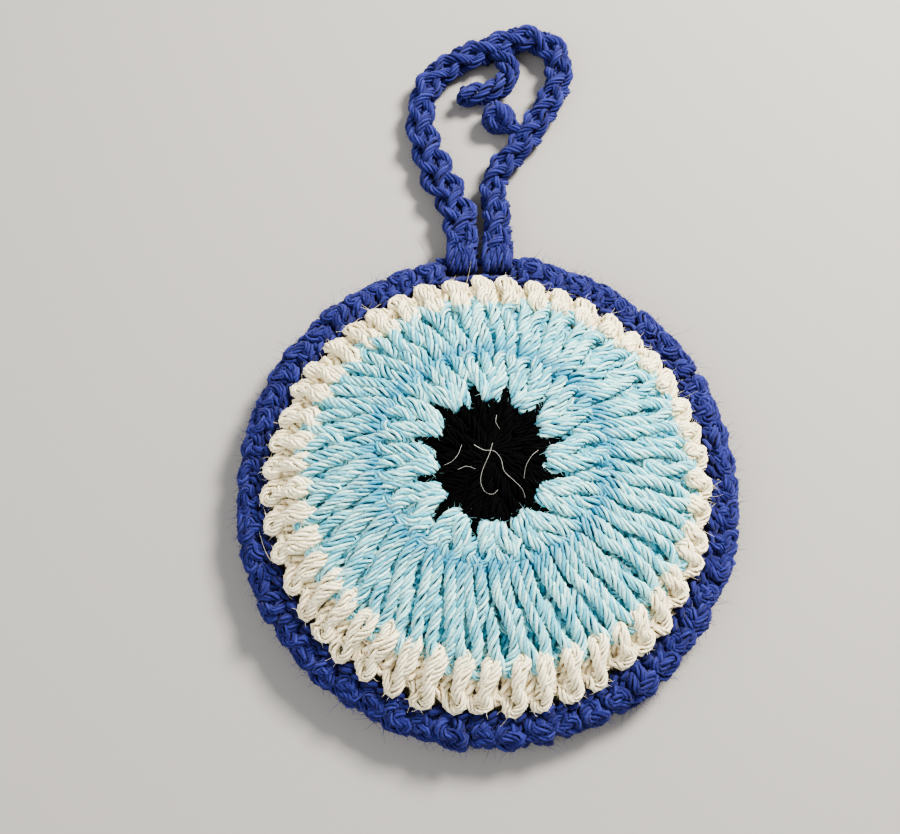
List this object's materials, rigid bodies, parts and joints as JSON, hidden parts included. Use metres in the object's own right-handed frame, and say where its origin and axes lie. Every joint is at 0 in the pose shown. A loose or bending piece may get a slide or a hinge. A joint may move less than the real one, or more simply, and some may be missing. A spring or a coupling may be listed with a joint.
{
  "type": "crocheted evil eye ornament",
  "caption": "Stuffed round crocheted evil eye ornament with a dark pupil, marled blue iris, white ring, dark blue border and a hanging loop that folds at its root.",
  "frame": {"origin": "middle of the flat back, on the surface that the ornament lies on", "axes": "+Z out of the front face, +Y towards the hanging loop, +X to the right"},
  "size_m": [0.108, 0.1693, 0.0205],
  "materials": {
    "black_yarn": "matte plied yarn, crocheted",
    "light_blue_yarn": "matte plied yarn, light blue marled with white, crocheted",
    "white_yarn": "matte plied cream white yarn, crocheted",
    "dark_blue_yarn": "fuzzy plied dark blue yarn, crocheted",
    "filling": "matte fibre wadding"
  },
  "bodies": {
    "disc": {"front_pupil_round": "black_yarn", "front_iris_inner_round": "light_blue_yarn", "front_iris_outer_round": "light_blue_yarn", "front_white_round": "white_yarn", "back_pupil_round": "black_yarn", "back_iris_inner_round": "light_blue_yarn", "back_iris_outer_round": "light_blue_yarn", "back_white_round": "white_yarn", "fibre_filling": "filling", "border_round": "dark_blue_yarn", "loop_anchor_strand": "dark_blue_yarn"},
    "loop": {"loop_base_left": "dark_blue_yarn", "loop_base_right": "dark_blue_yarn", "loop_cord": "dark_blue_yarn"},
    "upper_tail": {"loop_upper_tail": "dark_blue_yarn"},
    "knot_tail": {"loop_knot_tail": "dark_blue_yarn"}
  },
  "joints": [
    {"name": "loop_fold", "type": "hinge", "parent": "disc", "child": "loop", "pos_m": [0, 0.0529, 0.0055], "axis": [1, 0, 0], "range_deg": [-100, 100]},
    {"name": "upper_tail_swing", "type": "hinge", "parent": "loop", "child": "upper_tail", "pos_m": [0.00287, 0.10993, 0.0033], "axis": [0.8873, 0.4612, 0], "range_deg": [-70, 70]},
    {"name": "knot_tail_swing", "type": "hinge", "parent": "loop", "child": "knot_tail", "pos_m": [0.0102, 0.0859, 0.0033], "axis": [0.5471, 0.8371, 0], "range_deg": [-70, 70]}
  ]
}
